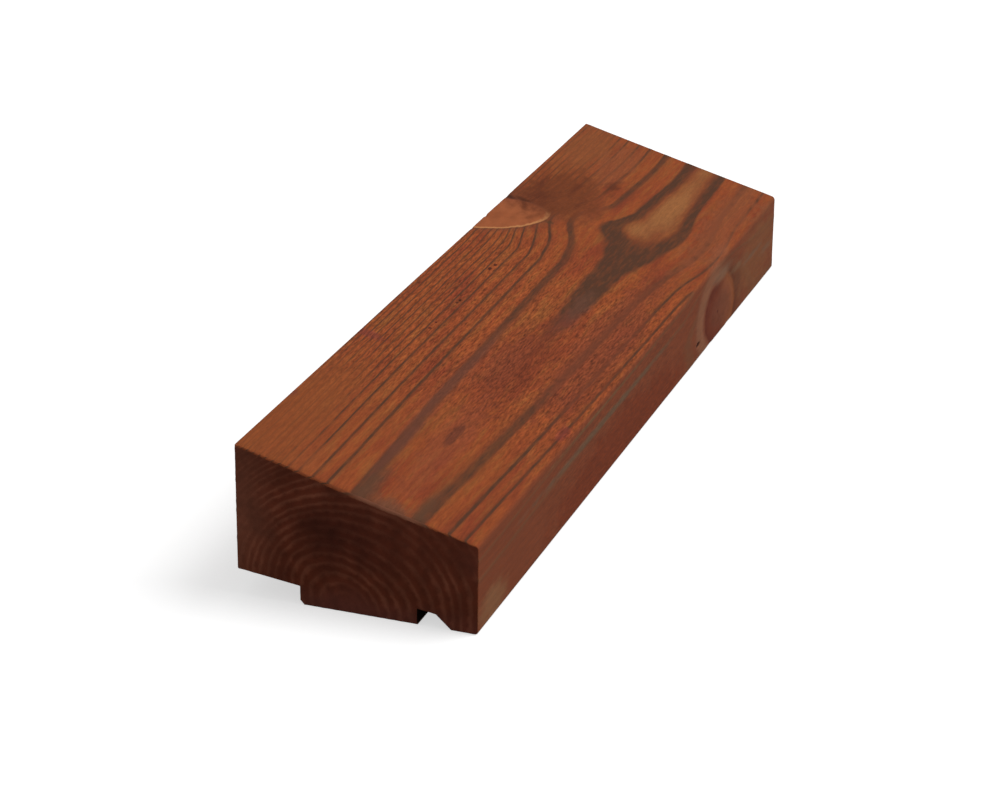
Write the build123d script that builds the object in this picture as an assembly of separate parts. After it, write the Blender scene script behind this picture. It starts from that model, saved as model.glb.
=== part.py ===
from build123d import *
from math import radians, tan
import os

# A timber drip board: one length of planed softwood with a sloping top that sheds rain,
# a rebate under its back edge, and a drip groove behind the nose of its weather edge.
# The length runs along X, the weather face looks to -Y and the back face to +Y.
# The board rests on its tongue and its nose, and the origin is under its middle, on that plane.

# Driving dimensions, in millimetres and degrees

length = 300.0  # one length, sawn square at both ends
width = 70.0  # back face to weather face
back_height = 45.0  # underside to the high edge of the top, before it is eased
top_fall = 15.0  # degrees that the top falls towards the weather face
roof_rise = 7.0  # degrees that the roofs of the rebate and the groove rise towards the back

rebate_width = 18.4  # back face to the rebate's upright wall
rebate_depth = 5.4  # underside to the rebate's roof, at that wall
tongue_chamfer = 1.3  # at the foot of that wall

nose_width = 7.8  # weather face to the mouth of the drip groove
groove_mouth = 9.5  # width of the groove at the underside
groove_depth = 4.6  # underside to the groove's roof, at its upright inner wall
groove_roof = 5.1  # inner wall to the knee, from where the groove splays out to its mouth

weather_arris = 1.5  # radius along the top of the weather face
nose_arris = 1.0  # radius along the bottom of the weather face
back_arris = 0.5  # radius along both edges of the back face

# Places in the section that follow from them

back = width / 2
front = -width / 2
front_height = back_height - width * tan(radians(top_fall))
rebate_wall = back - rebate_width
rebate_height = rebate_depth + rebate_width * tan(radians(roof_rise))
groove_front = front + nose_width
groove_wall = groove_front + groove_mouth
groove_knee = groove_wall - groove_roof
knee_height = groove_depth - groove_roof * tan(radians(roof_rise))


def planed_blank():
    """The four-sided blank, with its top planed to the fall."""
    return make_face(
        Polyline(
            (front, 0),
            (back, 0),
            (back, back_height),
            (front, front_height),
            close=True,
        )
    )


def rebate():
    """What the rebate takes off the back edge: a step whose roof rises to the back."""
    return make_face(
        Polyline(
            (rebate_wall, 0),
            (back, 0),
            (back, rebate_height),
            (rebate_wall, rebate_depth),
            close=True,
        )
    )


def drip_groove():
    """What the drip groove takes out: an upright inner wall, a roof, and a splayed outer side."""
    return make_face(
        Polyline(
            (groove_front, 0),
            (groove_wall, 0),
            (groove_wall, groove_depth),
            (groove_knee, knee_height),
            close=True,
        )
    )


def corner(profile, y, z):
    """The corner of the profile at a place in the section."""
    return profile.vertices().sort_by_distance((y, z))[0]


def section():
    """The board's cross-section, with its long edges eased."""
    profile = planed_blank() - rebate() - drip_groove()
    profile = fillet(corner(profile, front, front_height), weather_arris)
    profile = fillet(corner(profile, front, 0), nose_arris)
    profile = fillet(corner(profile, back, back_height), back_arris)
    profile = fillet(corner(profile, back, rebate_height), back_arris)
    return chamfer(corner(profile, rebate_wall, 0), tongue_chamfer)


def drip_board():
    """The section run out to the board's length, half of it to each side of the origin."""
    return extrude(Plane.YZ * section(), amount=length / 2, both=True)


os.makedirs("parts", exist_ok=True)
board = drip_board()
export_step(board, "parts/drip_board.step")
print("drip_board", round(board.volume / 1000), "cm3", board.bounding_box().size)
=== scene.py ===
import logging
import math
from dataclasses import dataclass
from enum import Enum

import bmesh
import bpy
from mathutils import Matrix, Vector


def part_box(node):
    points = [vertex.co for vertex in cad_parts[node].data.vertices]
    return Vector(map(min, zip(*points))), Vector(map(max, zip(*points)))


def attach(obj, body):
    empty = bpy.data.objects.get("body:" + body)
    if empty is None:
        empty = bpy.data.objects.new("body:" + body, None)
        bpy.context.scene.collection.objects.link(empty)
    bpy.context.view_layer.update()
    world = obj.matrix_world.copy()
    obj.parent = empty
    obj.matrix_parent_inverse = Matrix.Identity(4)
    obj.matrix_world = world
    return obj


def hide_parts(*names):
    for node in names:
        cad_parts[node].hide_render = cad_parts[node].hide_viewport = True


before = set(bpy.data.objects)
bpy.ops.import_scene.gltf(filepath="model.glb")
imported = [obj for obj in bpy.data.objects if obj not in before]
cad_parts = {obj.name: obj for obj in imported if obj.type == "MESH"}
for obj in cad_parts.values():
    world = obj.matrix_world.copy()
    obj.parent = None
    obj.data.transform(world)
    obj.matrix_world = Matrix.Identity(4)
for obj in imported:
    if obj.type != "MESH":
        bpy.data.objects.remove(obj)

# A length of stained pine drip board, lying on its tongue and nose.
# The grain is a solid pattern: growth rings round a pith under the board, swelling where
# two branches grew out, so the faces, the square ends and the knots all agree.

Node = bpy.types.Node
Tree = bpy.types.NodeTree
Triple = tuple[float, float, float]

MM = 0.001
NODE = "drip_board"
BODY = "root"
# Each point's place in the wood before the near end wore away, kept for the finishes
GROWN = "grown_place"
# The values that most noise lies between, as the inputs of a Map Range node
NOISE_SPAN = {1: 0.3, 2: 0.7}
# A cut that passes a vertex closer than this goes through it
CUT_REACH = 0.01 * MM

log = logging.getLogger("drip_board")


class Cut(Enum):
    """The two ways that the board's surfaces were cut, as material indices."""

    PLANED = 0
    SAWN = 1


def srgb(code: str, alpha: float = 1.0) -> tuple[float, float, float, float]:
    """Turn an sRGB hex colour into the linear colour that shaders take.

    Args:
        code: Six hex digits, such as "8B4A2B".
        alpha: The fourth channel.

    Returns:
        Linear red, green and blue, with the alpha.
    """
    channels = [int(code[i:i + 2], 16) / 255 for i in (0, 2, 4)]
    linear = [c / 12.92 if c <= 0.04045 else ((c + 0.055) / 1.055) ** 2.4 for c in channels]
    return (*linear, alpha)


def add_node(
    tree: Tree,
    kind: str,
    inputs: dict | None = None,
    points: list[tuple] | None = None,
    **settings: object,
) -> Node:
    """Add a node with its settings, its curve or ramp, and its links.

    Args:
        tree: The tree that gets the node.
        kind: The node's type, such as "Math", or its full name where that doesn't start
            with ShaderNode.
        inputs: Each input's name or number, with a value to set, a socket to link, or a
            node whose first live output is linked.
        points: The points of a float curve, or the stops of a colour ramp.
        **settings: The node's own properties.

    Returns:
        The node.
    """
    node = tree.nodes.new(kind if "Node" in kind else f"ShaderNode{kind}")
    for name, value in settings.items():
        setattr(node, name, value)
    for key, value in (inputs or {}).items():
        if isinstance(value, Node):
            value = next(output for output in value.outputs if output.enabled)
        if isinstance(value, bpy.types.NodeSocket):
            tree.links.new(value, node.inputs[key])
        else:
            node.inputs[key].default_value = value
    if points and hasattr(node, "mapping"):
        curve = node.mapping.curves[0]
        while len(curve.points) < len(points):
            curve.points.new(0.5, 0.5)
        for point, place in zip(curve.points, points):
            point.location = place
            point.handle_type = "VECTOR"
        node.mapping.update()
    elif points:
        ramp = node.color_ramp
        while len(ramp.elements) < len(points):
            ramp.elements.new(0.5)
        for stop, (place, colour) in zip(ramp.elements, points):
            stop.position = place
            stop.color = colour
    return node


def blank_material(name: str) -> bpy.types.Material:
    """Make a material with an empty node tree.

    Args:
        name: The material's name.

    Returns:
        The material.
    """
    material = bpy.data.materials.new(name)
    material.use_nodes = True
    material.node_tree.nodes.clear()
    return material


def distance_from(tree: Tree, place: Node, centre: Triple, reach: Triple) -> Node:
    """Measure how far a point lies from a centre, in shares of the reach each way.

    Args:
        tree: The tree that gets the nodes.
        place: The point, in millimetres.
        centre: The centre, in millimetres.
        reach: The lengths along X, Y and Z that count as 1.

    Returns:
        The node of the distance.
    """
    apart = add_node(tree, "VectorMath", {0: place, 1: centre}, operation="SUBTRACT")
    apart = add_node(tree, "VectorMath", {0: apart, 1: reach}, operation="DIVIDE")
    return add_node(tree, "VectorMath", {0: apart}, operation="LENGTH")


@dataclass(frozen=True)
class Mottle:
    """An uneven pattern in the wood: noise stretched to real lengths, in millimetres."""

    lengths: Triple
    detail: float = 3.0
    roughness: float = 0.5

    def spread(self, tree: Tree, place: Node) -> Node:
        """Spread the pattern through the wood.

        Args:
            tree: The tree that gets the nodes.
            place: The point, in millimetres.

        Returns:
            The node of the noise.
        """
        stretch = tuple(1 / length for length in self.lengths)
        spot = add_node(tree, "VectorMath", {0: place, 1: stretch}, operation="MULTIPLY")
        inputs = {"Vector": spot, "Scale": 1.0, "Detail": self.detail, "Roughness": self.roughness}
        return add_node(tree, "TexNoise", inputs)


@dataclass(frozen=True)
class Section:
    """The moulded section: its sizes are in metres, and its place comes from the CAD box.

    wear gives how far down the near end its upper arris is worn, at places from the weather
    face to the back. It is in millimetres, as most_wear and wear_stray are. Along the top
    the wear reaches wear_stretch times as far.
    """

    back: float
    front: float
    back_height: float = 45.0 * MM
    top_fall: float = math.radians(15)
    roof_rise: float = math.radians(7)
    rebate_width: float = 18.4 * MM
    rebate_depth: float = 5.4 * MM
    tongue_chamfer: float = 1.3 * MM
    nose_width: float = 7.8 * MM
    groove_mouth: float = 9.5 * MM
    groove_depth: float = 4.6 * MM
    groove_roof: float = 5.1 * MM
    weather_arris: float = 1.5 * MM
    nose_arris: float = 1.0 * MM
    back_arris: float = 0.5 * MM
    arris_segments: int = 6
    wear: tuple[tuple[float, float], ...] = (
        (-35, 0.6), (-24, 0.8), (-17, 1.3), (-1, 1.6), (8, 1.3), (20, 1.0), (35, 0.9),
    )
    most_wear: float = 3.0
    wear_stray: float = 1.0
    wear_stretch: float = 2.2

    @property
    def width(self) -> float:
        """The distance from the back face to the weather face."""
        return self.back - self.front

    @property
    def front_height(self) -> float:
        """The height of the weather face, before its arrises are eased."""
        return self.back_height - self.width * math.tan(self.top_fall)

    @property
    def ridge(self) -> Vector:
        """The upper back corner, before its arris is eased."""
        return Vector((0, self.back, self.back_height))

    @property
    def top_normal(self) -> Vector:
        """The direction that the sloping top faces."""
        return Vector((0, -math.sin(self.top_fall), math.cos(self.top_fall)))

    def corners(self) -> list[tuple[float, float, float]]:
        """Give the section's sharp corners in order.

        Returns:
            For each corner, its Y, its Z and the radius that eases it.
        """
        wall = self.back - self.rebate_width
        rise = math.tan(self.roof_rise)
        groove_front = self.front + self.nose_width
        groove_wall = groove_front + self.groove_mouth
        knee = groove_wall - self.groove_roof
        return [
            (self.front, 0.0, self.nose_arris),
            (groove_front, 0.0, 0.0),
            (knee, self.groove_depth - self.groove_roof * rise, 0.0),
            (groove_wall, self.groove_depth, 0.0),
            (groove_wall, 0.0, 0.0),
            (wall - self.tongue_chamfer, 0.0, 0.0),
            (wall, self.tongue_chamfer, 0.0),
            (wall, self.rebate_depth, 0.0),
            (self.back, self.rebate_depth + self.rebate_width * rise, self.back_arris),
            (self.back, self.back_height, self.back_arris),
            (self.front, self.front_height, self.weather_arris),
        ]

    def below_top(self, tree: Tree, place: Node) -> Node:
        """Measure how far a point lies under the plane of the sloping top.

        Args:
            tree: The tree that gets the nodes.
            place: The point, in millimetres.

        Returns:
            The node of the distance, in millimetres.
        """
        apart = add_node(tree, "VectorMath", {0: place, 1: self.ridge / MM}, operation="SUBTRACT")
        return add_node(tree, "VectorMath", {0: apart, 1: -self.top_normal}, operation="DOT_PRODUCT")

    def worn(self, tree: Tree, place: Node, noise: Node) -> Node:
        """Find how far down the near end its upper arris is worn.

        Args:
            tree: The tree that gets the nodes.
            place: The point, in millimetres.
            noise: Noise that makes the wear uneven.

        Returns:
            The node of the depth, in millimetres.
        """
        across = add_node(tree, "SeparateXYZ", {0: place}).outputs[1]
        share = add_node(tree, "MapRange", {0: across, 1: self.front / MM, 2: self.back / MM})
        points = [((y * MM - self.front) / self.width, depth / self.most_wear) for y, depth in self.wear]
        deep = add_node(tree, "FloatCurve", {"Factor": 1.0, "Value": share}, points)
        stray = {0: noise, 1: self.wear_stray, 2: -self.wear_stray / 2}
        stray = add_node(tree, "Math", stray, operation="MULTIPLY_ADD")
        return add_node(tree, "Math", {0: deep, 1: self.most_wear, 2: stray}, operation="MULTIPLY_ADD")

    def draw(self, bm: bmesh.types.BMesh, x: float) -> None:
        """Draw the section as one face, with its arrises eased by arcs.

        Args:
            bm: The mesh that gets the face.
            x: The place of the face along the board.
        """
        corners = self.corners()
        verts = [bm.verts.new((x, y, z)) for y, z, _ in corners]
        bm.faces.new(verts)
        for vert, (_, _, radius) in zip(verts, corners):
            if radius > 0:
                sides = [edge.other_vert(vert).co - vert.co for edge in vert.link_edges]
                bmesh.ops.bevel(
                    bm,
                    geom=[vert],
                    offset=radius / math.tan(sides[0].angle(sides[1]) / 2),
                    segments=self.arris_segments,
                    profile=0.5,
                    affect="VERTICES",
                    material=-1,
                )


@dataclass(frozen=True)
class Branch:
    """A branch that grew out from the pith, and shows as a knot where the board cuts it.

    Sizes are in millimetres. A branch leans towards -X as it grows out. The rings swell by
    swell at its edge, fading over reach half widths. near and far give the colours of its
    wood from its heart outwards, on its two sides along the board: for each stop, the
    distance in half widths, the colour, and how far it hides the grain. On the back knot's
    near side, the pale stops just inside and outside its edge are a painted highlight along
    its rim.
    """

    leaves: Vector
    lean: float
    half_length: float
    half_width: float
    swell: float
    reach: float
    gap: float
    near: tuple[tuple[float, str, float], ...]
    far: tuple[tuple[float, str, float], ...]


@dataclass(frozen=True)
class Mark:
    """A mark on the board: a pit, a run of stain, painted shade or painted light, or a patch of darker or
    plainer wood.

    Sizes are in millimetres. It covers the wood within reach of its place, fully out to the
    share core of that reach. depth is how far it is sunk into the wood.
    """

    place: Triple
    reach: Triple
    colour: str
    strength: float
    core: float = 0.4
    ragged: float = 0.3
    depth: float = 0.0

    def cover(self, tree: Tree, place: Node, noise: Node) -> Node:
        """Find how much of the mark covers each point.

        Args:
            tree: The tree that gets the nodes.
            place: The point, in millimetres.
            noise: Noise that makes its edge ragged.

        Returns:
            The node of the cover, from 0 to 1.
        """
        apart = distance_from(tree, place, self.place, self.reach)
        stray = {0: noise, 1: 2 * self.ragged, 2: -self.ragged}
        stray = add_node(tree, "Math", stray, operation="MULTIPLY_ADD")
        apart = add_node(tree, "Math", {0: apart, 1: stray}, operation="ADD")
        fade = {0: apart, 1: self.core, 2: 1.0, 3: self.strength, 4: 0.0}
        return add_node(tree, "MapRange", fade, interpolation_type="SMOOTHSTEP")

    def paint(self, tree: Tree, wood: Node, place: Node, noise: Node) -> Node:
        """Lay the mark's colour over the wood.

        Args:
            tree: The tree that gets the nodes.
            wood: The wood's colour.
            place: The point, in millimetres.
            noise: Noise that makes its edge ragged.

        Returns:
            The node of the new colour.
        """
        cover = self.cover(tree, place, noise)
        return add_node(tree, "Mix", {0: cover, 6: wood, 7: srgb(self.colour)}, data_type="RGBA")


@dataclass(frozen=True)
class KnotNodes:
    """The nodes that describe a knot at a point: its distance in half widths, and its side."""

    branch: Branch
    distance: Node
    side: Node


@dataclass(frozen=True)
class GrainNodes:
    """The nodes that describe the wood at a point."""

    place: Node
    radius: Node
    age: Node
    latewood: Node
    fibre: Node
    streaks: Node
    ragged: Node
    knots: list[KnotNodes]


@dataclass(frozen=True)
class Stem:
    """The tree that the board was cut from, in millimetres, with its pith under the board.

    rings gives, for each year, the radius where its growth ended, the width of its dark
    latewood, and how dark that is. taper gives how far the rings stand further out along
    the board than at its near end. swellings gives the centre, the reach and the height of
    the broad waves in the rings. year gives how dark the wood is from the start of a year's
    growth to its end, with the latewood from late_share on. side_blend gives where, along a
    knot, its near side's colours give way to its far side's.
    """

    pith: Vector = Vector((0, 2, 2))
    lopsided: float = 0.08
    rings: tuple[tuple[float, float, float], ...] = (
        (3.0, 0.7, 0.5), (5.4, 0.7, 0.5), (7.8, 0.75, 0.6), (10.2, 0.75, 0.6), (12.6, 0.7, 0.6),
        (15.2, 0.7, 0.6), (17.6, 0.8, 0.6), (20.3, 0.6, 0.6), (23.0, 0.8, 0.7), (26.0, 0.9, 0.7),
        (28.4, 0.8, 0.7),
        (30.74, 0.75, 1.0), (33.77, 1.0, 0.85), (36.75, 0.5, 0.95), (39.12, 0.42, 0.9), (41.82, 0.38, 0.95),
        (43.92, 0.35, 0.95), (45.62, 0.34, 0.9), (47.1, 0.32, 0.8), (48.8, 0.33, 0.9), (50.2, 0.33, 0.85),
        (51.75, 0.32, 0.8), (53.3, 0.36, 0.95), (54.5, 0.3, 0.8), (55.5, 0.3, 0.7), (57.0, 0.32, 0.8),
        (58.6, 0.32, 0.7), (60.3, 0.32, 0.7), (62.2, 0.32, 0.7), (64.0, 0.32, 0.7),
    )
    late_share: float = 0.7
    late_middle: float = 0.85
    year: tuple[tuple[float, float], ...] = (
        (0.0, 0.5), (0.03, 0.12), (0.08, 0.0), (0.52, 0.0), (0.7, 0.28), (0.78, 0.85), (0.84, 1.0),
        (0.96, 1.0), (1.0, 0.5),
    )
    taper: tuple[tuple[float, float], ...] = (
        (0, 0), (25, 0.2), (50, 0.52), (80, 0.83), (105, 1.0), (137, 1.2), (165, 1.41), (195, 1.52),
        (215, 1.75), (230, 2.02), (245, 2.29), (265, 2.51), (300, 2.25),
    )
    board_end: float = -150.0
    board_length: float = 300.0
    most_radius: float = 64.0
    most_taper: float = 2.6
    side_blend: tuple[float, float] = (-0.2, 0.75)
    branches: tuple[Branch, ...] = (
        Branch(
            Vector((49.2, 35, 45)), 1.056, 15.2, 9.5, 0.5, 1.386, 0.12,
            near=(
                # The pale stops at 0.985 and 1.03 half widths are a painted highlight along the knot's rim
                (0.0, "8E4C2B", 1.0), (0.5, "93512F", 1.0), (0.95, "93512F", 1.0), (0.985, "B07549", 1.0),
                (1.03, "AA7045", 1.0), (1.06, "5F3422", 0.9), (1.12, "6B3A26", 0.5), (1.4, "70412C", 0.0),
            ),
            far=(
                (0.0, "93512F", 1.0), (0.6, "91502F", 1.0), (0.92, "86472B", 1.0), (0.99, "633421", 1.0),
                (1.04, "5F311E", 0.95), (1.12, "65341F", 0.9), (1.4, "693621", 0.7), (2.0, "6C3A25", 0.0),
            ),
        ),
        Branch(
            Vector((81, -35, 9)), 1.0, 16.0, 10.5, 2.1, 1.8, 0.1,
            near=(
                (0.0, "79432E", 1.0), (0.45, "753D29", 1.0), (0.75, "703420", 1.0), (0.97, "692F1E", 1.0),
                (1.06, "7E4833", 0.7), (1.22, "916045", 0.8), (1.55, "8C5C42", 0.75), (1.8, "7B4632", 0.0),
            ),
            far=(
                (0.0, "79432E", 1.0), (0.5, "7C462F", 1.0), (0.8, "864B31", 1.0), (1.0, "8C5031", 0.95),
                (1.12, "8F5230", 0.9), (1.25, "63341F", 0.85), (1.5, "6B3C26", 0.6), (2.0, "6E4029", 0.0),
            ),
        ),
    )
    swellings: tuple[tuple[Triple, Triple, float], ...] = (
        ((61.7, 16.1, 39.9), (33.1, 21.7, 40.0), 4.64),
        ((78.7, 4.2, 36.8), (15.9, 16.8, 40.0), 0.95),
        ((127.8, 11.2, 38.6), (53.7, 30.3, 40.0), -1.24),
        ((70.3, -23.9, 29.2), (49.8, 15.8, 40.0), 1.15),
        ((53.8, 12.7, 39.0), (20.6, 13.6, 40.0), -1.76),
        ((0.0, -38.0, 2.0), (600.0, 16.0, 14.0), -1.7),
        ((140.0, -36.0, 12.0), (55.0, 12.0, 15.0), -2.0),
        ((-150.0, 20.1, 13.2), (600.0, 28.8, 26.9), 4.9),
        ((-150.0, -2.9, 9.8), (600.0, 21.7, 24.7), -2.95),
    )
    # The rings wander slowly by about 0.1 mm, and finely by about 0.2 mm
    wanders: tuple[tuple[Mottle, float], ...] = (
        (Mottle((60, 12, 12), 2.0), 0.12),
        (Mottle((9, 2.2, 2.2), 2.0), 0.22),
    )
    # The radius at which the fibre coordinates measure true lengths round the stem
    true_radius: float = 35.0
    # Streaks along the fibres, and the unevenness of the edges of knots and marks
    streaks: Mottle = Mottle((22, 0.9, 1.1))
    ragged: Mottle = Mottle((5, 3, 3))

    def cut_branch(self, tree: Tree, place: Node, branch: Branch) -> KnotNodes:
        """Measure a point's distance from a branch's axis, in its own half widths.

        Args:
            tree: The tree that gets the nodes.
            place: The point, in millimetres.
            branch: The branch.

        Returns:
            The distance, which is 1 at the branch's edge, and the side along the board.
        """
        outward = Vector((0, branch.leaves.y - self.pith.y, branch.leaves.z - self.pith.z)).normalized()
        along = Vector((1, branch.lean * outward.y, branch.lean * outward.z)) / branch.half_length
        across = Vector((0, -outward.z, outward.y)) / branch.half_width
        apart = add_node(tree, "VectorMath", {0: place, 1: branch.leaves}, operation="SUBTRACT")
        shares = [
            add_node(tree, "VectorMath", {0: apart, 1: axis}, operation="DOT_PRODUCT")
            for axis in (along, across)
        ]
        flat = add_node(tree, "CombineXYZ", {0: shares[0], 1: shares[1]})
        distance = add_node(tree, "VectorMath", {0: flat}, operation="LENGTH")
        side = add_node(tree, "Math", {0: shares[0], 1: distance}, operation="DIVIDE")
        blend = {0: side, 1: self.side_blend[0], 2: self.side_blend[1]}
        side = add_node(tree, "MapRange", blend, interpolation_type="SMOOTHSTEP")
        return KnotNodes(branch, distance, side)

    def ring_radius(self, tree: Tree, place: Node, flat: Node, knots: list[KnotNodes]) -> Node:
        """Measure how far out a point's growth ring stands.

        Args:
            tree: The tree that gets the nodes.
            place: The point, in millimetres.
            flat: The point's offset from the pith, square to it.
            knots: The knots there.

        Returns:
            The node of the ring's radius at the near end, clear of the knots.
        """
        # Rings round the pith, a little wider on the weather side
        across = add_node(tree, "SeparateXYZ", {0: flat}).outputs[1]
        radius = add_node(tree, "VectorMath", {0: flat}, operation="LENGTH")
        radius = add_node(tree, "Math", {0: across, 1: self.lopsided, 2: radius}, operation="MULTIPLY_ADD")

        # The stem's taper along the board
        along = add_node(tree, "SeparateXYZ", {0: place}).outputs[0]
        ends = {0: along, 1: self.board_end, 2: self.board_end + self.board_length}
        share = add_node(tree, "MapRange", ends)
        points = [(x / self.board_length, lift / self.most_taper) for x, lift in self.taper]
        taper = add_node(tree, "FloatCurve", {"Factor": 1.0, "Value": share}, points)
        lift = {0: taper, 1: -self.most_taper, 2: radius}
        radius = add_node(tree, "Math", lift, operation="MULTIPLY_ADD")

        # The rings swell out round each branch, and in broad waves elsewhere
        swells = [(knot.distance, 1.0, 1.0 + knot.branch.reach, knot.branch.swell) for knot in knots]
        for centre, reach, height in self.swellings:
            swells.append((distance_from(tree, place, centre, reach), 0.0, 1.0, height))
        for distance, start, end, height in swells:
            fade = {0: distance, 1: start, 2: end, 3: height, 4: 0.0}
            swell = add_node(tree, "MapRange", fade, interpolation_type="SMOOTHSTEP")
            radius = add_node(tree, "Math", {0: radius, 1: swell}, operation="SUBTRACT")

        for mottle, depth in self.wanders:
            stray = {0: mottle.spread(tree, place), 1: depth, 2: -depth / 2}
            stray = add_node(tree, "Math", stray, operation="MULTIPLY_ADD")
            radius = add_node(tree, "Math", {0: radius, 1: stray}, operation="ADD")
        return radius

    def growth(self, tree: Tree, radius: Node) -> tuple[Node, Node]:
        """Find a ring's age, and how dark its latewood makes the wood.

        Args:
            tree: The tree that gets the nodes.
            radius: The ring's radius, in millimetres.

        Returns:
            The nodes of the age in rings and of the darkness, from 0 to 1.
        """
        years = len(self.rings)
        share = add_node(tree, "Math", {0: radius, 1: self.most_radius}, operation="DIVIDE")
        ends = [(0.0, 0.0)]
        darks = [(0.0, self.rings[0][2])]
        for year, (end, width, strength) in enumerate(self.rings):
            ends.append(((end - width) / self.most_radius, (year + self.late_share) / years))
            ends.append((end / self.most_radius, (year + 1) / years))
            darks.append(((year + self.late_middle) / years, strength))
        darks.append((1.0, self.rings[-1][2]))
        age = add_node(tree, "FloatCurve", {"Factor": 1.0, "Value": share}, ends)
        dark = add_node(tree, "FloatCurve", {"Factor": 1.0, "Value": age}, darks)
        age = add_node(tree, "Math", {0: age, 1: float(years)}, operation="MULTIPLY")
        phase = add_node(tree, "Math", {0: age}, operation="FRACT")
        late = add_node(tree, "FloatCurve", {"Factor": 1.0, "Value": phase}, list(self.year))
        return age, add_node(tree, "Math", {0: late, 1: dark}, operation="MULTIPLY")

    def grain(self, tree: Tree, metres: Node | bpy.types.NodeSocket) -> GrainNodes:
        """Build the wood at each point of the board.

        Args:
            tree: A shader's or a modifier's tree, which gets the same nodes.
            metres: The point, in metres.

        Returns:
            The nodes that describe the wood there.
        """
        place = add_node(tree, "VectorMath", {0: metres, "Scale": 1 / MM}, operation="SCALE")
        square = {0: place, 1: (0, 1, 1), 2: (0, -self.pith.y, -self.pith.z)}
        flat = add_node(tree, "VectorMath", square, operation="MULTIPLY_ADD")
        knots = [self.cut_branch(tree, place, branch) for branch in self.branches]
        radius = self.ring_radius(tree, place, flat, knots)
        age, latewood = self.growth(tree, radius)

        # Coordinates that run along the fibres, bending round the knots with the rings
        along = add_node(tree, "SeparateXYZ", {0: place}).outputs[0]
        _, y, z = add_node(tree, "SeparateXYZ", {0: flat}).outputs
        turn = add_node(tree, "Math", {0: y, 1: z}, operation="ARCTAN2")
        arc = add_node(tree, "Math", {0: turn, 1: self.true_radius}, operation="MULTIPLY")
        fibre = add_node(tree, "CombineXYZ", {0: along, 1: radius, 2: arc})
        streaks = self.streaks.spread(tree, fibre)
        ragged = self.ragged.spread(tree, place)
        return GrainNodes(place, radius, age, latewood, fibre, streaks, ragged, knots)


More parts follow.
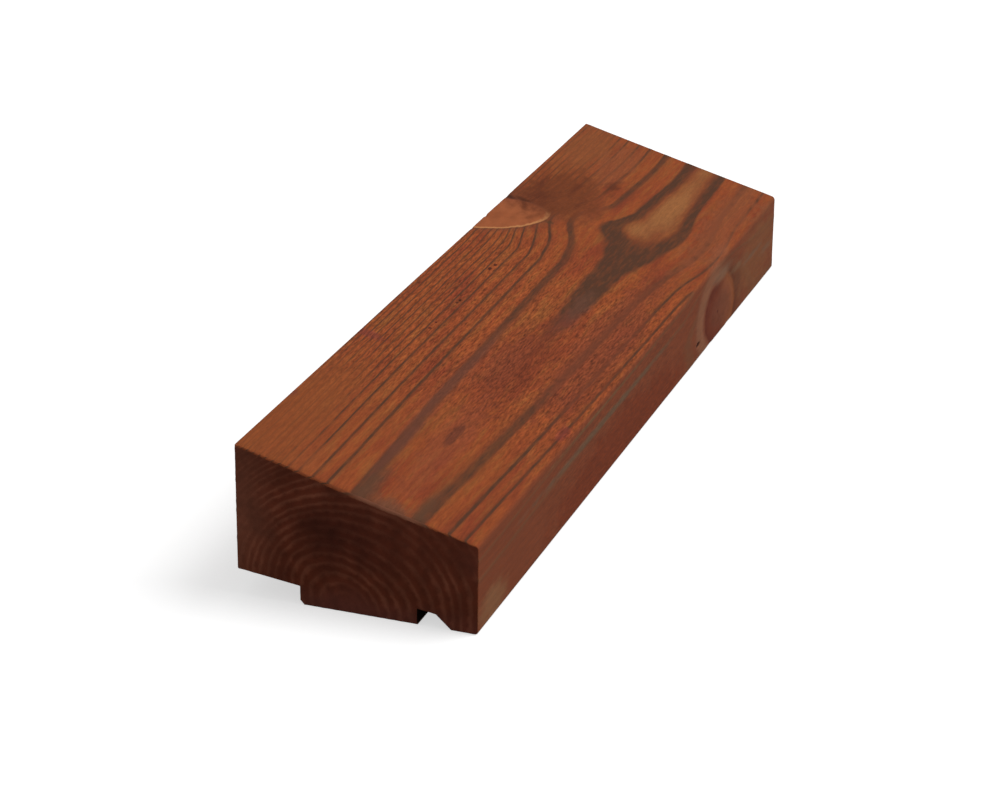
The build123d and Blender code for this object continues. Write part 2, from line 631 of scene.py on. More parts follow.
@dataclass(frozen=True)
class PlanedPine:
    """Pine, planed and brushed with a thin red-brown stain.

    The open earlywood takes the stain and goes orange-brown. The hard latewood keeps it on
    top and goes grey-brown. The fibres give fine streaks along the grain. A tinge is a
    colour that comes up as the noise of its mottle passes from one value to another. Places
    and radii are in millimetres.
    """

    name: str = "pine_planed_and_stained"
    earlywood: str = "8D4622"
    # Broad patches of redder and more golden earlywood
    patches: Mottle = Mottle((45, 6, 8))
    patch_tinges: tuple[tuple[str, float, float], ...] = (("7F3920", 0.45, 0.75), ("874C25", 0.45, 0.22))
    # Streaks of redder and more golden stain
    tints: Mottle = Mottle((14, 1.6, 1.6))
    tint_tinges: tuple[tuple[str, float, float], ...] = (("75301F", 0.48, 0.72), ("8B5A2C", 0.5, 0.28))
    most_tint: float = 0.36
    # Paler heartwood within these radii
    heartwood: str = "935D34"
    heart_edge: tuple[float, float] = (30.1, 29.7)
    # The weather face has browner wood, and its latewood hardly shows
    weathered: str = "80432A"
    weather_edge: tuple[float, float] = (-34.3, -34.9)
    latewood: str = "503222"
    latewood_weathered: str = "745036"
    latewood_fade: float = 0.5
    # Latewood is broken up along its length
    beads: Mottle = Mottle((6, 0.7, 0.9), 2.0)
    beading: tuple[float, float] = (0.75, 1.15)
    # A knot's edge strays by a share of its half width, and its ramps run to 2.5 half widths
    knot_stray: float = 0.12
    ramp_scale: float = 0.4
    knot_edge: tuple[float, float] = (1.1, 0.95)
    knot_mottle: tuple[float, float] = (0.9, 1.1)
    # Flecks and pores along the fibres, drawn 0.45 mm wide because real ones are too fine to
    # show. They are roughest in the middle of the board, and smooth on latewood
    flecks: Mottle = Mottle((3.2, 0.45, 0.5), 4.0, 0.65)
    fleck: float = 0.2
    fleck_roughest: float = 0.6
    fleck_weathered: float = 0.5
    roughest_place: float = -25.0
    roughest_reach: tuple[float, float] = (35.0, 95.0)
    latewood_smooth: float = 0.75
    streaking: tuple[float, float] = (0.92, 1.08)
    roughness: float = 0.66
    roughness_stray: float = 0.06
    specular: float = 0.08
    bump_strength: float = 0.5
    bump_height: float = 0.08 * MM
    marks: tuple[Mark, ...] = (
        # Resin pits in a row behind the fine rings
        Mark((-43, 19.8, 41), (1.2, 0.7, 2), "4A1F16", 0.85, depth=0.25),
        Mark((-38, 19.8, 41), (0.9, 0.55, 2), "4A1F16", 0.8, depth=0.25),
        Mark((-20, 19.7, 41), (1.2, 0.6, 2), "4A1F16", 0.9, depth=0.3),
        Mark((-17.7, 19.7, 41), (1.2, 0.65, 2), "3F1912", 0.95, depth=0.3),
        Mark((-14, 16.3, 40), (1.2, 0.4, 2), "4A1F16", 0.7, depth=0.2),
        Mark((10.6, 20.3, 41), (1.7, 0.65, 2), "3F1912", 0.95, depth=0.3),
        Mark((14.8, 20.0, 41), (1.2, 0.75, 2), "3F1912", 0.95, depth=0.3),
        Mark((70.5, 20.6, 41), (1.9, 0.9, 2), "43201A", 0.8, depth=0.3),
        Mark((46.2, 35, 45), (1.8, 1.5, 1.5), "5A3020", 0.6, 0.2, 0.1, depth=0.5),
        # Plainer and redder wood, where the rings hardly show
        Mark((-128, 29, 43), (68, 12, 10), "844522", 0.75, 0.55, 0.4),
        Mark((130, 27, 43), (38, 13, 9), "824827", 0.85, 0.3, 0.5),
        Mark((-45, -9, 33), (62, 11, 8), "70321D", 0.85, 0.1, 0.5),
        Mark((-42, -5, 35), (36, 7, 7), "793C24", 0.6, 0.2, 0.5),
        Mark((0, -10, 33), (22, 4.5, 5), "6E392A", 0.6, 0.2, 0.6),
        Mark((12, -10, 33), (17, 3.8, 5), "5B3B2C", 0.75, 0.3, 0.4),
        Mark((101, -25, 28), (15, 3, 5), "6C321D", 0.8, 0.2, 0.6),
        Mark((90, -32.5, 27), (15, 3.5, 4), "8C5238", 0.6, 0.1, 0.6),
        Mark((-28, -29.5, 28), (62, 5.5, 6), "733722", 0.55, 0.4, 0.5),
        Mark((-65, 3, 36), (58, 5, 6), "7C3F27", 0.3, 0.4, 0.5),
        Mark((-5, -23, 29), (75, 9, 7), "763A24", 0.65, 0.5, 0.5),
        Mark((112, -27, 28), (70, 9, 6), "83462A", 0.75, 0.3, 0.7),
        Mark((84, 10, 38), (22, 6, 6), "7C3D22", 0.85, 0.3, 0.5),
        Mark((122, 15, 40), (36, 8, 8), "83472A", 0.68, 0.4, 0.6),
        Mark((-143, 16.5, 40), (17, 4.5, 5), "8A4826", 0.6, 0.3, 0.6),
        Mark((-105, -9, 33), (50, 7, 7), "84432A", 0.5, 0.3, 0.5),
        # Grey-brown wood where the wide rings meet the near end, and along the broadest one
        Mark((-118, 0.9, 36), (32, 2.3, 5), "653A2B", 0.75, 0.3, 0.25),
        Mark((-70, 2.7, 36), (55, 2.1, 5), "673B2B", 0.75, 0.3, 0.25),
        Mark((-149, -1.4, 34), (30, 3.9, 6), "5A3B29", 0.85, 0.25, 0.3),
        Mark((-146, -16.8, 30), (26, 2.9, 5), "5A3B29", 0.8, 0.2, 0.3),
        Mark((-153, -9, 33), (13, 10, 6), "6B422E", 0.9, 0.4, 0.4),
        # A dash of resin between the wide rings, and runs of stain across the grain
        Mark((-98, -8.7, 33), (10.5, 1.9, 4), "663422", 0.9, 0.55, 0.25),
        Mark((-61.5, 33, 44), (3.6, 9, 5), "74352B", 0.65, 0.4, 0.5),
        Mark((-111.5, 35, 44), (4.5, 2.4, 3), "70382A", 0.6),
        Mark((-73, -32.5, 27), (7, 2.5, 4), "7C352B", 0.6),
        # Dark streaky wood behind the back knot
        Mark((85, 22, 41), (33, 18, 12), "6C361B", 0.93, 0.35, 0.5),
        Mark((105, 10, 38), (10, 4, 4), "552715", 0.75, 0.0, 0.9),
        Mark((76, 27, 42), (14, 7, 5), "5A2A16", 0.75, 0.0, 0.9),
        Mark((88, 29.5, 43), (12, 1.8, 4), "572816", 0.7, 0.0, 0.6),
        Mark((94, 19.5, 41), (14, 1.6, 4), "572816", 0.7, 0.0, 0.6),
        Mark((82, 14.5, 40), (9, 1.5, 4), "5C2C18", 0.7, 0.0, 0.6),
        Mark((67.2, 34, 45), (2.0, 3.2, 3), "3A1C10", 0.8, 0.2, 0.3, depth=0.1),
        Mark((69.2, 29.5, 44), (2.0, 4.0, 3), "43200F", 0.75, 0.2, 0.3, depth=0.1),
        Mark((60, 17.5, 40), (2.4, 2.6, 4), "523520", 0.8, 0.3, 0.6, depth=0.1),
        # A dark pit beside the front knot
        Mark((58, -35, 5.4), (2.8, 2, 0.9), "33140E", 1.0, depth=0.5),
        Mark((79.8, -35, 9), (1.2, 2, 0.8), "4F2418", 0.8, depth=0.1),
        # Painted shade in the drip groove: a near-black cover that darkens its inner walls and the
        # undersides beside it, where the groove lies in shadow
        Mark((0, -21.7, 2.8), (600, 6.2, 4), "150A06", 0.97, 0.85, 0.1),
        # Redder, browner and greyer patches of the weather face, and olive wood over its knot
        Mark((-25, -35, 4), (78, 3, 14), "7A3820", 0.85, 0.55, 0.4),
        Mark((-139, -35, 4.5), (17, 2, 8), "8A5D3E", 0.9, 0.25, 0.4),
        Mark((128, -35, 13), (38, 3, 18), "865434", 0.7, 0.2, 0.6),
        Mark((84, -35, 21), (15, 2, 3), "86624A", 0.8, 0.2, 0.4),
        Mark((104, -35, 17), (14, 2, 2), "7D5A40", 0.7, 0.0, 0.5),
        Mark((122, -35, 14.8), (18, 2, 1.6), "7A5842", 0.75, 0.1, 0.4),
        Mark((140, -35, 11), (10, 2, 2.2), "7A5842", 0.7, 0.1, 0.4),
        Mark((104, -35, 11.5), (6, 2, 5), "6E402A", 0.7, 0.1, 0.5),
        # Two olive rings along the weather face, nearly flat to it
        Mark((-45, -35, 19), (92, 1.2, 1.7), "6F5540", 0.85, 0.25, 0.35),
        Mark((-50, -35, 24), (78, 1.2, 0.9), "75583C", 0.6, 0.1, 0.5),
    )

    def stain(self, tree: Tree, grain: GrainNodes, weather: Node) -> Node:
        """Colour the earlywood.

        Args:
            tree: The tree that gets the nodes.
            grain: The wood.
            weather: How far a point belongs to the weather face.

        Returns:
            The node of the colour.
        """
        wood = srgb(self.earlywood)
        layers = (
            (self.patches, self.patch_tinges, 1.0, "SMOOTHSTEP"),
            (self.tints, self.tint_tinges, self.most_tint, "LINEAR"),
        )
        for mottle, tinges, most, blend in layers:
            noise = mottle.spread(tree, grain.fibre)
            for colour, start, end in tinges:
                rise = {0: noise, 1: start, 2: end, 4: most}
                share = add_node(tree, "MapRange", rise, interpolation_type=blend)
                wood = add_node(tree, "Mix", {0: share, 6: wood, 7: srgb(colour)}, data_type="RGBA")
        young = add_node(tree, "MapRange", {0: grain.radius, 1: self.heart_edge[0], 2: self.heart_edge[1]})
        for share, colour in ((young, self.heartwood), (weather, self.weathered)):
            wood = add_node(tree, "Mix", {0: share, 6: wood, 7: srgb(colour)}, data_type="RGBA")
        return wood

    def lay_knot(self, tree: Tree, wood: Node, grain: GrainNodes, knot: KnotNodes) -> Node:
        """Lay a knot's colours over the wood, with a ragged edge.

        Args:
            tree: The tree that gets the nodes.
            wood: The wood's colour.
            grain: The wood.
            knot: The knot.

        Returns:
            The node of the new colour.
        """
        stray = {0: grain.ragged, 1: self.knot_stray, 2: knot.distance}
        distance = add_node(tree, "Math", stray, operation="MULTIPLY_ADD")
        scale = {0: distance, 1: self.ramp_scale, 2: -self.knot_stray / 2 * self.ramp_scale}
        distance = add_node(tree, "Math", scale, operation="MULTIPLY_ADD")
        sides = []
        for stops in (knot.branch.near, knot.branch.far):
            points = [(place * self.ramp_scale, srgb(colour, cover)) for place, colour, cover in stops]
            sides.append(add_node(tree, "ValToRGB", {0: distance}, points).outputs)
        near, far = sides
        colour = add_node(tree, "Mix", {0: knot.side, 6: near[0], 7: far[0]}, data_type="RGBA")
        cover = add_node(tree, "Mix", {0: knot.side, 2: near[1], 3: far[1]}, data_type="FLOAT")
        return add_node(tree, "Mix", {0: cover, 6: wood, 7: colour}, data_type="RGBA")

    def shade(self, tree: Tree, grain: GrainNodes, weather: Node, strength: Node, fine: Node) -> Node:
        """Lighten and darken the wood by its flecks, its streaks and its knots' own mottle.

        Args:
            tree: The tree that gets the nodes.
            grain: The wood.
            weather: How far a point belongs to the weather face.
            strength: How strongly the latewood shows.
            fine: The flecks' noise.

        Returns:
            The node of the factor.
        """
        along = add_node(tree, "SeparateXYZ", {0: grain.place}).outputs[0]
        apart = add_node(tree, "Math", {0: along, 1: self.roughest_place}, operation="SUBTRACT")
        apart = add_node(tree, "Math", {0: apart}, operation="ABSOLUTE")
        start, end = self.roughest_reach
        fade = {0: apart, 1: start, 2: end, 3: self.fleck_roughest, 4: self.fleck}
        depth = add_node(tree, "MapRange", fade, interpolation_type="SMOOTHSTEP")
        quiet = add_node(tree, "MapRange", {0: weather, 3: 1.0, 4: self.fleck_weathered})
        depth = add_node(tree, "Math", {0: depth, 1: quiet}, operation="MULTIPLY")
        shade = add_node(tree, "MapRange", {0: fine, **NOISE_SPAN, 3: -1.0, 4: 1.0})
        shade = add_node(tree, "Math", {0: shade, 1: depth, 2: 1.0}, operation="MULTIPLY_ADD")
        low, high = self.streaking
        broad = add_node(tree, "MapRange", {0: grain.streaks, **NOISE_SPAN, 3: low, 4: high})
        shade = add_node(tree, "Math", {0: shade, 1: broad}, operation="MULTIPLY")
        smooth = add_node(tree, "MapRange", {0: strength, 4: self.latewood_smooth})
        shade = add_node(tree, "Mix", {0: smooth, 2: shade, 3: 1.0}, data_type="FLOAT")
        low, high = self.knot_mottle
        mottle = add_node(tree, "MapRange", {0: grain.ragged, **NOISE_SPAN, 3: low, 4: high})
        outside, inside = self.knot_edge
        for knot in grain.knots:
            share = add_node(tree, "MapRange", {0: knot.distance, 1: outside, 2: inside})
            shade = add_node(tree, "Mix", {0: share, 2: shade, 3: mottle}, data_type="FLOAT")
        return shade

    def dress(self, stem: Stem) -> bpy.types.Material:
        """Build the material.

        Args:
            stem: The tree whose grain the board shows.

        Returns:
            The material.
        """
        material = blank_material(self.name)
        tree = material.node_tree
        metres = add_node(tree, "Attribute", attribute_name=GROWN).outputs["Vector"]
        grain = stem.grain(tree, metres)
        across = add_node(tree, "SeparateXYZ", {0: grain.place}).outputs[1]
        weather = add_node(tree, "MapRange", {0: across, 1: self.weather_edge[0], 2: self.weather_edge[1]})
        wood = self.stain(tree, grain, weather)

        beads = self.beads.spread(tree, grain.fibre)
        low, high = self.beading
        strength = add_node(tree, "MapRange", {0: beads, **NOISE_SPAN, 3: low, 4: high})
        both = {0: strength, 1: grain.latewood}
        strength = add_node(tree, "Math", both, operation="MULTIPLY", use_clamp=True)
        fade = add_node(tree, "MapRange", {0: weather, 3: 1.0, 4: self.latewood_fade})
        strength = add_node(tree, "Math", {0: strength, 1: fade}, operation="MULTIPLY")
        colours = {0: weather, 6: srgb(self.latewood), 7: srgb(self.latewood_weathered)}
        late = add_node(tree, "Mix", colours, data_type="RGBA")
        wood = add_node(tree, "Mix", {0: strength, 6: wood, 7: late}, data_type="RGBA")
        for knot in grain.knots:
            wood = self.lay_knot(tree, wood, grain, knot)
        for mark in self.marks:
            wood = mark.paint(tree, wood, grain.place, grain.ragged)

        fine = self.flecks.spread(tree, grain.fibre)
        shade = self.shade(tree, grain, weather, strength, fine)
        wood = add_node(tree, "VectorMath", {0: wood, "Scale": shade}, operation="SCALE")
        low, high = self.roughness - self.roughness_stray, self.roughness + self.roughness_stray
        rough = add_node(tree, "MapRange", {0: fine, **NOISE_SPAN, 3: low, 4: high})
        dents = {"Strength": self.bump_strength, "Distance": self.bump_height, "Height": fine}
        bump = add_node(tree, "Bump", dents)
        finish = {
            "Base Color": wood, "Roughness": rough, "Specular IOR Level": self.specular, "Normal": bump
        }
        shader = add_node(tree, "BsdfPrincipled", finish)
        add_node(tree, "OutputMaterial", {"Surface": shader})
        return material


@dataclass(frozen=True)
class SawnPine:
    """Pine end grain, sawn across and stained.

    The cut pores drink the stain, so an end is much darker than a face. Here the hard
    latewood takes less of it and shows as paler arcs, wavy where the saw tore the fibres.
    """

    name: str = "pine_end_grain_sawn_and_stained"
    earlywood: str = "5F2A19"
    latewood: str = "77422F"
    blotches: Mottle = Mottle((30, 9, 9), 4.0)
    patchiness: tuple[float, float] = (0.3, 1.0)
    blotch_shade: tuple[float, float] = (0.82, 1.18)
    torn: Mottle = Mottle((30, 2.6, 2.6))
    torn_shade: tuple[float, float] = (0.86, 1.14)
    # How far the arcs stray, in years, and how pale a year's growth is from start to end
    waviness: float = 0.6
    arc: tuple[tuple[float, float], ...] = (
        (0.0, 0.45), (0.12, 0.05), (0.45, 0.0), (0.75, 0.9), (0.9, 0.95), (1.0, 0.45),
    )
    # The worn upper arris, where the wood shows as the top's does, fades out past this share
    # of its depth
    worn_core: float = 0.75
    bared: str = "864426"
    bared_latewood: str = "523424"
    # Browner wood on the worn arris, painted lighter than it is to make up for the shade that the arris
    # falls into as it turns down to the end
    browned_painted_lighter: Mark = Mark((-150, -9, 32), (40, 13, 12), "704634", 0.9, 0.6, 0.2)
    roughness: float = 0.75
    specular: float = 0.1
    marks: tuple[Mark, ...] = (
        Mark((-150, 2, 22), (40, 21, 16), "451B10", 0.65, 0.0, 0.3),
        Mark((-150, 8, 24), (40, 8, 17), "40190E", 0.45, 0.0, 0.4),
        Mark((-150, 36, 24), (40, 17, 36), "7F4B38", 0.7, 0.0, 0.3),
        Mark((-150, 3, 2), (40, 12, 10), "6B3526", 0.8, 0.2, 0.5),
        Mark((-150, 0, -1), (40, 70, 9), "75433B", 0.5, 0.0, 0.3),
        Mark((-150, -20, 24), (40, 24, 11), "5F2B1B", 0.6, 0.2, 0.4),
        Mark((-150, -36, 21), (40, 9, 9), "72392A", 0.6, 0.0, 0.4),
    )

    def arcs(self, tree: Tree, grain: GrainNodes, torn: Node, blotches: Node) -> Node:
        """Colour the rings as broad pale arcs.

        Args:
            tree: The tree that gets the nodes.
            grain: The wood.
            torn: Noise where the saw tore the fibres.
            blotches: Noise that makes the arcs patchy.

        Returns:
            The node of the colour.
        """
        low, high = self.patchiness
        patchy = add_node(tree, "MapRange", {0: blotches, **NOISE_SPAN, 3: low, 4: high})
        age = add_node(tree, "Math", {0: torn, 1: self.waviness, 2: grain.age}, operation="MULTIPLY_ADD")
        age = add_node(tree, "Math", {0: age, 1: -self.waviness / 2}, operation="ADD")
        phase = add_node(tree, "Math", {0: age}, operation="FRACT")
        pale = add_node(tree, "FloatCurve", {"Factor": 1.0, "Value": phase}, list(self.arc))
        strength = add_node(tree, "Math", {0: pale, 1: patchy}, operation="MULTIPLY", use_clamp=True)
        colours = {0: strength, 6: srgb(self.earlywood), 7: srgb(self.latewood)}
        return add_node(tree, "Mix", colours, data_type="RGBA")

    def bare(self, tree: Tree, wood: Node, grain: GrainNodes, torn: Node, section: Section) -> Node:
        """Lay the top's colours over the worn upper arris, which tilts up.

        Args:
            tree: The tree that gets the nodes.
            wood: The wood's colour.
            grain: The wood.
            torn: Noise where the saw tore the fibres.
            section: The section whose arris is worn.

        Returns:
            The node of the new colour.
        """
        below = section.below_top(tree, grain.place)
        wear = section.worn(tree, grain.place, torn)
        depth = add_node(tree, "Math", {0: below, 1: wear}, operation="DIVIDE")
        fade = {0: depth, 1: self.worn_core, 2: 1.0, 3: 1.0, 4: 0.0}
        worn = add_node(tree, "MapRange", fade, interpolation_type="SMOOTHSTEP")
        colours = {0: grain.latewood, 6: srgb(self.bared), 7: srgb(self.bared_latewood)}
        bared = add_node(tree, "Mix", colours, data_type="RGBA")
        # The browner patch is painted lighter, standing in for light that the down-turned arris doesn't get
        bared = self.browned_painted_lighter.paint(tree, bared, grain.place, torn)
        return add_node(tree, "Mix", {0: worn, 6: wood, 7: bared}, data_type="RGBA")

    def dress(self, stem: Stem, section: Section) -> bpy.types.Material:
        """Build the material.

        Args:
            stem: The tree whose grain the board shows.
            section: The section whose upper arris is worn.

        Returns:
            The material.
        """
        material = blank_material(self.name)
        tree = material.node_tree
        metres = add_node(tree, "Attribute", attribute_name=GROWN).outputs["Vector"]
        grain = stem.grain(tree, metres)
        blotches = self.blotches.spread(tree, grain.place)
        torn = self.torn.spread(tree, grain.place)
        wood = self.arcs(tree, grain, torn, blotches)
        for mark in self.marks:
            wood = mark.paint(tree, wood, grain.place, blotches)
        wood = self.bare(tree, wood, grain, torn, section)
        shades = []
        for noise, (low, high) in ((blotches, self.blotch_shade), (torn, self.torn_shade)):
            shades.append(add_node(tree, "MapRange", {0: noise, **NOISE_SPAN, 3: low, 4: high}))
        shade = add_node(tree, "Math", {0: shades[0], 1: shades[1]}, operation="MULTIPLY")
        wood = add_node(tree, "VectorMath", {0: wood, "Scale": shade}, operation="SCALE")
        finish = {"Base Color": wood, "Roughness": self.roughness, "Specular IOR Level": self.specular}
        shader = add_node(tree, "BsdfPrincipled", finish)
        add_node(tree, "OutputMaterial", {"Surface": shader})
        return material


@dataclass
class DripBoard:
    """The board: one closed mesh of its moulded section, with the relief of its wood.

    The pitches and steps are between the mesh's lines. late_stand, the saw marks and cup
    are in millimetres, and the gap round a knot is placed in its half widths.
    """

    section: Section
    near: float
    far: float
    stem: Stem
    faces: PlanedPine
    ends: SawnPine
    name: str = "moulded_board"
    end_easing: float = 0.35 * MM
    end_segments: int = 3
    wear_rows: tuple[float, ...] = (0.7 * MM, 1.2 * MM, 1.8 * MM, 2.6 * MM, 3.5 * MM, 4.6 * MM, 6.0 * MM)
    top_pitch: float = 0.4 * MM
    front_pitch: float = 0.6 * MM
    back_pitch: float = 0.9 * MM
    under_pitch: float = 1.2 * MM
    end_pitch: float = 0.55 * MM
    fine_from: float = 20 * MM
    fine_to: float = 115 * MM
    coarse_step: float = 2.8 * MM
    fine_step: float = 1.0 * MM
    long_edge: float = 10 * MM
    # The least cosine between a face and the way that it counts as facing, the least for a
    # sawn end, and those between which the hollow of the top comes up
    facing: float = 0.9
    square: float = 0.8
    upward: tuple[float, float] = (0.6, 0.95)
    sharp_angle: float = math.radians(35)
    late_stand: float = 0.07
    saw_pitch: float = 1.3
    saw_depth: float = 0.05
    saw_way: Vector = Vector((0, 0.8, 0.6))
    cup: float = 0.25
    gap_place: tuple[float, float, float] = (0.94, 1.02, 1.25)

    def blank(self) -> bmesh.types.BMesh:
        """Run the section out to the board's length, and ease the edges of its square ends.

        Returns:
            The closed blank.
        """
        bm = bmesh.new()
        self.section.draw(bm, self.near)
        run = bmesh.ops.extrude_face_region(bm, geom=bm.faces[:], use_keep_orig=True)
        moved = [item for item in run["geom"] if isinstance(item, bmesh.types.BMVert)]
        bmesh.ops.translate(bm, verts=moved, vec=(self.far - self.near, 0, 0))
        bmesh.ops.recalc_face_normals(bm, faces=bm.faces[:])
        rims = [edge for edge in bm.edges if abs(edge.verts[0].co.x - edge.verts[1].co.x) < self.long_edge]
        bmesh.ops.bevel(
            bm,
            geom=rims,
            offset=self.end_easing,
            segments=self.end_segments,
            profile=0.5,
            affect="EDGES",
            material=-1,
        )
        return bm

    def slice(self, bm: bmesh.types.BMesh, way: Vector, start: Vector, step: Vector) -> None:
        """Cut the faces that look one way into strips.

        Args:
            bm: The blank.
            way: The direction that the faces look, to within 25 degrees.
            start: A place one step before the first cut.
            step: From one cut to the next.
        """
        first = start + step
        faces = [face for face in bm.faces if face.normal.dot(way) > self.facing]
        reach = max((vert.co - first).dot(step) for face in faces for vert in face.verts)
        for i in range(int(reach / step.length_squared) + 1):
            edges = dict.fromkeys(edge for face in faces for edge in face.edges)
            verts = dict.fromkeys(vert for face in faces for vert in face.verts)
            cut = bmesh.ops.bisect_plane(
                bm,
                geom=[*faces, *edges, *verts],
                plane_co=first + step * i,
                plane_no=step.normalized(),
                dist=CUT_REACH,
            )
            faces = [item for item in cut["geom"] if isinstance(item, bmesh.types.BMFace)]

    def divide(self, bm: bmesh.types.BMesh) -> None:
        """Divide the faces finely enough to carry the wood's relief.

        Args:
            bm: The blank.
        """
        top = self.section.top_normal
        ridge = self.section.ridge
        foot = Vector((0, self.section.front, 0))
        front = Vector((0, -1, 0))
        down = Vector((0, 0, -1))
        along = Vector((1, 0, 0))
        cuts = (
            (-along, ridge, front * self.end_pitch),
            (-along, ridge, -top * self.end_pitch),
            (along, ridge, front * self.end_pitch),
            (along, ridge, -top * self.end_pitch),
            (top, ridge, front * self.top_pitch),
            (front, foot, -down * self.front_pitch),
            (-front, ridge, down * self.back_pitch),
            (down, ridge, front * self.under_pitch),
        )
        for way, start, step in cuts:
            self.slice(bm, way, start, step)
        for place in (*(self.near + row for row in self.wear_rows), self.fine_from, self.fine_to):
            parts = bm.verts[:] + bm.edges[:] + bm.faces[:]
            bmesh.ops.bisect_plane(bm, geom=parts, plane_co=along * place, plane_no=along, dist=CUT_REACH)
        spans = (
            (self.near, self.fine_from, self.coarse_step),
            (self.fine_from, self.fine_to, self.fine_step),
            (self.fine_to, self.far, self.coarse_step),
        )
        for start, end, step in spans:
            runs = []
            for edge in bm.edges:
                low, high = sorted(vert.co.x for vert in edge.verts)
                if high - low > self.long_edge and start - MM < low and high < end + MM:
                    runs.append(edge)
            count = round((end - start) / step) - 1
            bmesh.ops.subdivide_edges(bm, edges=runs, cuts=count, use_grid_fill=True)

    def sink(self, tree: Tree, grain: GrainNodes, normal: Node) -> Node:
        """Find how far the wood's surface lies below the plane that it was cut to.

        Args:
            tree: The tree that gets the nodes.
            grain: The wood.
            normal: The way that the surface faces.

        Returns:
            The node of the depth, in millimetres.
        """
        facing = add_node(tree, "SeparateXYZ", {0: normal}).outputs

        # Earlywood lies below the harder latewood
        depth = add_node(tree, "MapRange", {0: grain.latewood, 3: self.late_stand, 4: 0.0})

        # The upper face is a little hollow across its width, on the bark side
        across = add_node(tree, "SeparateXYZ", {0: grain.place}).outputs[1]
        half = self.section.width / 2 / MM
        bowed = add_node(tree, "Math", {0: across, 1: half}, operation="DIVIDE")
        bowed = add_node(tree, "Math", {0: bowed, 1: 2.0}, operation="POWER")
        bowed = add_node(tree, "MapRange", {0: bowed, 3: self.cup, 4: 0.0})
        upper = add_node(tree, "MapRange", {0: facing[2], 1: self.upward[0], 2: self.upward[1]})
        depth = add_node(tree, "Math", {0: bowed, 1: upper, 2: depth}, operation="MULTIPLY_ADD")

        # A gap opens round each knot, and each pit is sunk
        inner, deepest, outer = self.gap_place
        for knot in grain.knots:
            fall = {0: knot.distance, 1: inner, 2: deepest}
            fall = add_node(tree, "MapRange", fall, interpolation_type="SMOOTHSTEP")
            rise = {0: knot.distance, 1: deepest, 2: outer, 3: knot.branch.gap, 4: 0.0}
            rise = add_node(tree, "MapRange", rise, interpolation_type="SMOOTHSTEP")
            depth = add_node(tree, "Math", {0: fall, 1: rise, 2: depth}, operation="MULTIPLY_ADD")
        for mark in self.faces.marks:
            if mark.depth > 0:
                pit = {0: mark.cover(tree, grain.place, grain.ragged), 1: mark.depth, 2: depth}
                depth = add_node(tree, "Math", pit, operation="MULTIPLY_ADD")

        # Saw marks on the square ends
        waves = {0: grain.place, 1: self.saw_way * (2 * math.pi / self.saw_pitch)}
        ripple = add_node(tree, "VectorMath", waves, operation="DOT_PRODUCT")
        ripple = add_node(tree, "Math", {0: ripple}, operation="SINE")
        ripple = add_node(tree, "MapRange", {0: ripple, 1: -1.0, 2: 1.0, 3: 0.0, 4: self.saw_depth})
        sawn = add_node(tree, "Math", {0: facing[0]}, operation="ABSOLUTE")
        sawn = add_node(tree, "MapRange", {0: sawn, 1: self.square, 2: 1.0})
        return add_node(tree, "Math", {0: ripple, 1: sawn, 2: depth}, operation="MULTIPLY_ADD")

    def wear_away(self, tree: Tree, grain: GrainNodes, offset: Node) -> Node:
        """Round the near end's upper arris, by moving points towards an ellipse's centre.

        Args:
            tree: The tree that gets the nodes.
            grain: The wood.
            offset: How far the relief moves each point, in metres.

        Returns:
            The node of the new offset, in metres.
        """
        stretch = self.section.wear_stretch
        along = add_node(tree, "SeparateXYZ", {0: grain.place}).outputs[0]
        wear = self.section.worn(tree, grain.place, grain.ragged)
        behind = add_node(tree, "Math", {0: along, 1: self.near / MM}, operation="SUBTRACT")
        behind = add_node(tree, "Math", {0: behind, 1: stretch}, operation="DIVIDE")
        reaches = []
        for distance in (behind, self.section.below_top(tree, grain.place)):
            reach = add_node(tree, "Math", {0: wear, 1: distance}, operation="SUBTRACT")
            reaches.append(add_node(tree, "Math", {0: reach, 1: 0.0}, operation="MAXIMUM"))
        flat = add_node(tree, "CombineXYZ", {0: reaches[0], 1: reaches[1]})
        reach = add_node(tree, "VectorMath", {0: flat}, operation="LENGTH")
        share = add_node(tree, "Math", {0: wear, 1: reach}, operation="DIVIDE")
        share = add_node(tree, "MapRange", {0: share, 1: 1.0, 2: 0.0, 3: 0.0, 4: MM})
        for reach, way in zip(reaches, (Vector((stretch, 0, 0)), -self.section.top_normal)):
            pushed = add_node(tree, "Math", {0: reach, 1: share}, operation="MULTIPLY")
            moved = add_node(tree, "VectorMath", {0: way, "Scale": pushed}, operation="SCALE")
            offset = add_node(tree, "VectorMath", {0: offset, 1: moved}, operation="ADD")
        return offset

    def relief(self) -> Tree:
        """Build the nodes that press the wood's relief into the mesh.

        Returns:
            The node tree of a modifier.
        """
        tree = bpy.data.node_groups.new("wood_relief", "GeometryNodeTree")
        tree.interface.new_socket("Geometry", in_out="INPUT", socket_type="NodeSocketGeometry")
        tree.interface.new_socket("Geometry", in_out="OUTPUT", socket_type="NodeSocketGeometry")
        start = add_node(tree, "NodeGroupInput")
        metres = add_node(tree, "GeometryNodeInputPosition")
        normal = add_node(tree, "GeometryNodeInputNormal")
        grain = self.stem.grain(tree, metres)
        depth = self.sink(tree, grain, normal)
        inward = add_node(tree, "Math", {0: depth, 1: -MM}, operation="MULTIPLY")
        offset = add_node(tree, "VectorMath", {0: normal, "Scale": inward}, operation="SCALE")
        grown = add_node(tree, "VectorMath", {0: metres, 1: offset}, operation="ADD")
        offset = self.wear_away(tree, grain, offset)
        kept = add_node(
            tree,
            "GeometryNodeStoreNamedAttribute",
            {"Geometry": start, "Name": GROWN, "Value": grown},
            data_type="FLOAT_VECTOR",
            domain="POINT",
        )
        pressed = add_node(tree, "GeometryNodeSetPosition", {"Geometry": kept, "Offset": offset})
        add_node(tree, "NodeGroupOutput", {0: pressed})
        return tree

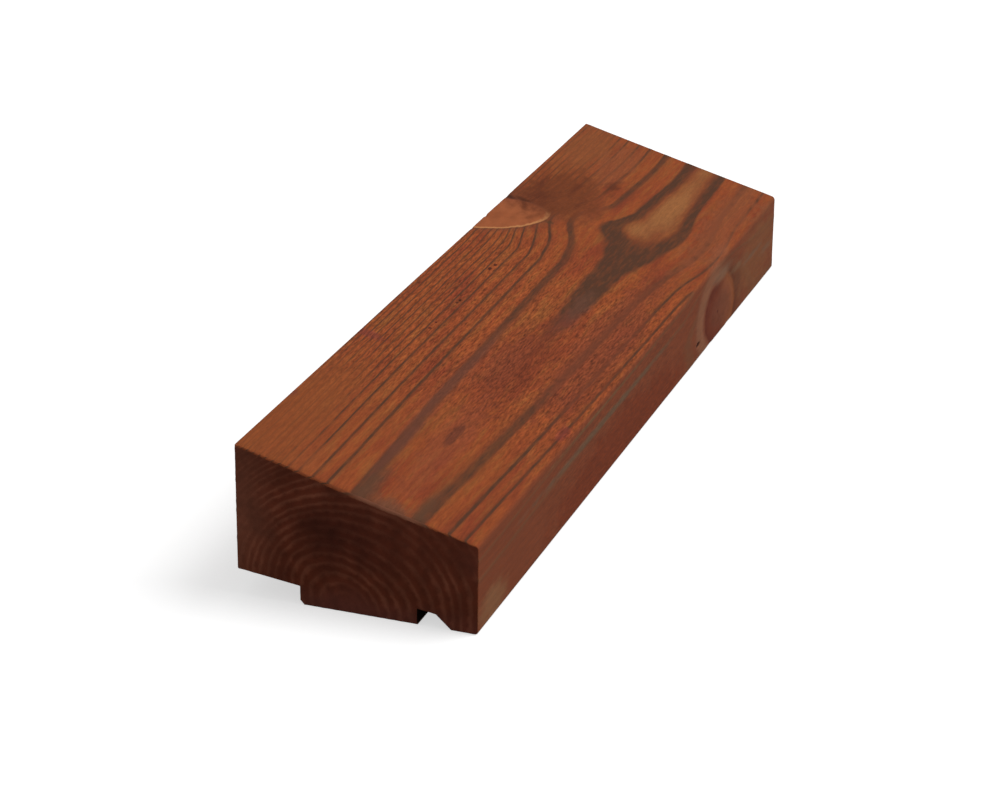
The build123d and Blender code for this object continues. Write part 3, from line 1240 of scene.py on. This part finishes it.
    def build(self) -> bpy.types.Object:
        """Make the board.

        Returns:
            The board, at the origin, with its place in its mesh.
        """
        bm = self.blank()
        self.divide(bm)
        for face in bm.faces:
            face.smooth = True
            cut = Cut.SAWN if abs(face.normal.x) > self.square else Cut.PLANED
            face.material_index = cut.value
        mesh = bpy.data.meshes.new(self.name)
        bm.to_mesh(mesh)
        bm.free()
        board = bpy.data.objects.new(self.name, mesh)
        bpy.context.scene.collection.objects.link(board)
        press = board.modifiers.new("relief", "NODES")
        press.node_group = self.relief()
        ready = board.evaluated_get(bpy.context.evaluated_depsgraph_get())
        board.data = bpy.data.meshes.new_from_object(ready)
        board.modifiers.clear()
        board.data.name = self.name
        board.data.set_sharp_from_angle(angle=self.sharp_angle)
        return board

    def dress(self, board: bpy.types.Object) -> None:
        """Give each kind of cut its finish, in the order of their material indices.

        Args:
            board: The board.
        """
        board.data.materials.append(self.faces.dress(self.stem))
        board.data.materials.append(self.ends.dress(self.stem, self.section))


@dataclass(frozen=True)
class Studio:
    """The camera, the floor and the light."""

    camera_place: Vector = Vector((-830.2, -282.1, 375.6)) * MM
    looks_at: Vector = Vector((-99.2, -22.5, 45.0)) * MM
    roll: float = math.radians(0.593)
    lens: float = 109.8
    sensor: float = 36.0
    sees_to: float = 50.0
    floor_width: float = 8.0
    # The floor's own grey, and what the camera sees, which a glow lifts to white
    paper: str = "A0A0A0"
    paper_seen: str = "C4C4C4"
    paper_glow: float = 0.6
    white: str = "FFFFFF"
    ambient: float = 0.36
    lamp_place: Vector = Vector((1.2, -2.4, 4.2))
    lamp_size: float = 3.0
    lamp_watts: float = 195.0

    def place_camera(self) -> None:
        """Set the camera at the photograph's place."""
        camera = bpy.data.cameras.new("camera")
        camera.sensor_width = self.sensor
        camera.sensor_fit = "HORIZONTAL"
        camera.lens = self.lens
        camera.clip_end = self.sees_to
        holder = bpy.data.objects.new("camera", camera)
        bpy.context.scene.collection.objects.link(holder)
        turn = (self.looks_at - self.camera_place).to_track_quat("-Z", "Y").to_matrix().to_4x4()
        tilt = Matrix.Rotation(self.roll, 4, "Z")
        holder.matrix_world = Matrix.Translation(self.camera_place) @ turn @ tilt
        bpy.context.scene.camera = holder

    def lay_floor(self) -> None:
        """Lay a pale paper floor, white to the camera, under the board."""
        bm = bmesh.new()
        bmesh.ops.create_grid(bm, x_segments=1, y_segments=1, size=self.floor_width / 2)
        mesh = bpy.data.meshes.new("floor")
        bm.to_mesh(mesh)
        bm.free()
        floor = bpy.data.objects.new("floor", mesh)
        bpy.context.scene.collection.objects.link(floor)
        material = blank_material("paper_matt_white")
        tree = material.node_tree
        path = add_node(tree, "LightPath").outputs["Is Camera Ray"]
        paper = add_node(tree, "BsdfDiffuse", {"Color": srgb(self.paper)})
        lit = add_node(tree, "BsdfDiffuse", {"Color": srgb(self.paper_seen)})
        glow = add_node(tree, "Emission", {"Color": srgb(self.white), "Strength": self.paper_glow})
        seen = add_node(tree, "AddShader", {0: lit, 1: glow})
        shader = add_node(tree, "MixShader", {0: path, 1: paper, 2: seen})
        add_node(tree, "OutputMaterial", {"Surface": shader})
        mesh.materials.append(material)

    def hang_lamp(self) -> None:
        """Hang a square soft lamp over the board, facing the origin."""
        lamp = bpy.data.lights.new("overhead_lamp", "AREA")
        lamp.shape = "SQUARE"
        lamp.size = self.lamp_size
        lamp.energy = self.lamp_watts
        holder = bpy.data.objects.new("overhead_lamp", lamp)
        bpy.context.scene.collection.objects.link(holder)
        turn = (-self.lamp_place).to_track_quat("-Z", "Y").to_matrix().to_4x4()
        holder.matrix_world = Matrix.Translation(self.lamp_place) @ turn

    def light_all_round(self) -> None:
        """Light the board evenly from all round, with white behind it."""
        world = bpy.data.worlds.new("studio")
        bpy.context.scene.world = world
        world.use_nodes = True
        tree = world.node_tree
        tree.nodes.clear()
        path = add_node(tree, "LightPath").outputs["Is Camera Ray"]
        strength = add_node(tree, "Mix", {0: path, 2: self.ambient, 3: 1.0}, data_type="FLOAT")
        shader = add_node(tree, "Background", {"Color": srgb(self.white), "Strength": strength})
        add_node(tree, "OutputWorld", {"Surface": shader})


def main() -> None:
    """Build the board and the studio."""
    logging.basicConfig(level=logging.INFO, format="%(name)s: %(message)s")
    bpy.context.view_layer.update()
    low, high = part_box(NODE)
    section = Section(back=high[1], front=low[1])
    board = DripBoard(section, low[0], high[0], Stem(), PlanedPine(), SawnPine())
    piece = board.build()
    board.dress(piece)
    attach(piece, BODY)
    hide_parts(NODE)
    log.info("%s: %d faces", piece.name, len(piece.data.polygons))
    studio = Studio()
    studio.place_camera()
    studio.lay_floor()
    studio.hang_lamp()
    studio.light_all_round()
    bpy.context.scene.view_settings.view_transform = "Standard"


if __name__ == "__main__":
    main()
